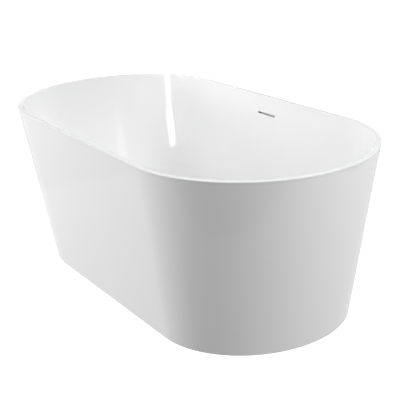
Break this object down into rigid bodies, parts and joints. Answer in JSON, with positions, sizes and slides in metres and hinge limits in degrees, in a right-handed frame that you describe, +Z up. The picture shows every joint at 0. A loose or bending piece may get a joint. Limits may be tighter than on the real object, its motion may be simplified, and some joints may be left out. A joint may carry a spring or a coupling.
{
  "type": "freestanding bathtub",
  "caption": "Oval freestanding bathtub with tapered double-walled acrylic shell, thin flat rim, slot overflow, click waste with trap and levelling feet on a steel frame.",
  "frame": {"origin": "on the floor, under the middle of the tub", "axes": "+X along the tub's length, +Y across it towards the long wall with the overflow slot, +Z up"},
  "size_m": [1.7, 0.8, 0.6],
  "materials": {
    "acrylic": "high-gloss white sanitary acrylic",
    "chrome": "polished chrome plate",
    "steel": "galvanised, satin grey spangle",
    "zinc": "bright zinc plate",
    "timber": "sawn softwood, resin sealed",
    "board": "resin-coated particle board",
    "rubber": "matt black sealing rubber",
    "pad_plastic": "moulded, fine matt grain",
    "waste_plastic": "white moulded polypropylene, satin",
    "hose_plastic": "grey corrugated, satin"
  },
  "bodies": {
    "root": {"inner_basin": "acrylic", "outer_skirt": "acrylic", "base_batten": "timber", "base_board": "board", "frame_rail_front": "steel", "frame_rail_back": "steel", "frame_crossbar_left": "steel", "frame_crossbar_middle": "steel", "frame_crossbar_right": "steel", "frame_screw_1": "zinc", "frame_screw_2": "zinc", "frame_screw_3": "zinc", "frame_screw_4": "zinc", "skirt_bracket_back_left": "zinc", "skirt_bracket_back_right": "zinc", "skirt_bracket_front_left": "zinc", "skirt_bracket_front_right": "zinc", "foot_lock_nut_front_left": "zinc", "foot_insert_front_left": "zinc", "foot_lock_nut_front_right": "zinc", "foot_insert_front_right": "zinc", "foot_lock_nut_back_left": "zinc", "foot_insert_back_left": "zinc", "foot_lock_nut_back_right": "zinc", "foot_insert_back_right": "zinc", "foot_lock_nut_middle": "zinc", "foot_insert_middle": "zinc", "waste_flange": "chrome", "waste_gasket_top": "rubber", "waste_gasket_bottom": "rubber", "waste_body": "waste_plastic", "waste_back_nut": "waste_plastic", "trap_body": "waste_plastic", "trap_union_nut": "waste_plastic", "outlet_pipe": "waste_plastic", "outlet_nut": "waste_plastic", "overflow_trim": "acrylic", "overflow_gasket": "rubber", "overflow_duct": "waste_plastic", "overflow_hose": "hose_plastic", "hose_clip_top": "zinc", "hose_clip_bottom": "zinc"},
    "plug": {"plug_cap": "chrome", "plug_stem": "zinc", "plug_seal": "rubber"},
    "foot_front_left": {"foot_pad_front_left": "pad_plastic"},
    "rod_front_left": {"foot_rod_front_left": "zinc"},
    "foot_front_right": {"foot_pad_front_right": "pad_plastic"},
    "rod_front_right": {"foot_rod_front_right": "zinc"},
    "foot_back_left": {"foot_pad_back_left": "pad_plastic"},
    "rod_back_left": {"foot_rod_back_left": "zinc"},
    "foot_back_right": {"foot_pad_back_right": "pad_plastic"},
    "rod_back_right": {"foot_rod_back_right": "zinc"},
    "foot_middle": {"foot_pad_middle": "pad_plastic"},
    "rod_middle": {"foot_rod_middle": "zinc"}
  },
  "joints": [
    {"name": "plug_lift", "type": "slide", "parent": "root", "child": "plug", "axis": [0, 0, 1], "range_m": [0, 0.01]},
    {"name": "foot_front_left_extend", "type": "slide", "parent": "root", "child": "foot_front_left", "axis": [0, 0, -1], "range_m": [0, 0.02]},
    {"name": "foot_front_left_turn", "type": "hinge", "parent": "foot_front_left", "child": "rod_front_left", "pos_m": [-0.48, -0.15, 0.05], "axis": [0, 0, -1], "range_deg": [0, 4115]},
    {"name": "foot_front_right_extend", "type": "slide", "parent": "root", "child": "foot_front_right", "axis": [0, 0, -1], "range_m": [0, 0.02]},
    {"name": "foot_front_right_turn", "type": "hinge", "parent": "foot_front_right", "child": "rod_front_right", "pos_m": [0.48, -0.15, 0.05], "axis": [0, 0, -1], "range_deg": [0, 4115]},
    {"name": "foot_back_left_extend", "type": "slide", "parent": "root", "child": "foot_back_left", "axis": [0, 0, -1], "range_m": [0, 0.02]},
    {"name": "foot_back_left_turn", "type": "hinge", "parent": "foot_back_left", "child": "rod_back_left", "pos_m": [-0.48, 0.15, 0.05], "axis": [0, 0, -1], "range_deg": [0, 4115]},
    {"name": "foot_back_right_extend", "type": "slide", "parent": "root", "child": "foot_back_right", "axis": [0, 0, -1], "range_m": [0, 0.02]},
    {"name": "foot_back_right_turn", "type": "hinge", "parent": "foot_back_right", "child": "rod_back_right", "pos_m": [0.48, 0.15, 0.05], "axis": [0, 0, -1], "range_deg": [0, 4115]},
    {"name": "foot_middle_extend", "type": "slide", "parent": "root", "child": "foot_middle", "axis": [0, 0, -1], "range_m": [0, 0.02]},
    {"name": "foot_middle_turn", "type": "hinge", "parent": "foot_middle", "child": "rod_middle", "pos_m": [0.17, 0, 0.05], "axis": [0, 0, -1], "range_deg": [0, 4115]}
  ],
  "couplings": [
    {"joint": "foot_front_left_turn", "follows": "foot_front_left_extend", "rad_per_m": 3590.4},
    {"joint": "foot_front_right_turn", "follows": "foot_front_right_extend", "rad_per_m": 3590.4},
    {"joint": "foot_back_left_turn", "follows": "foot_back_left_extend", "rad_per_m": 3590.4},
    {"joint": "foot_back_right_turn", "follows": "foot_back_right_extend", "rad_per_m": 3590.4},
    {"joint": "foot_middle_turn", "follows": "foot_middle_extend", "rad_per_m": 3590.4}
  ]
}
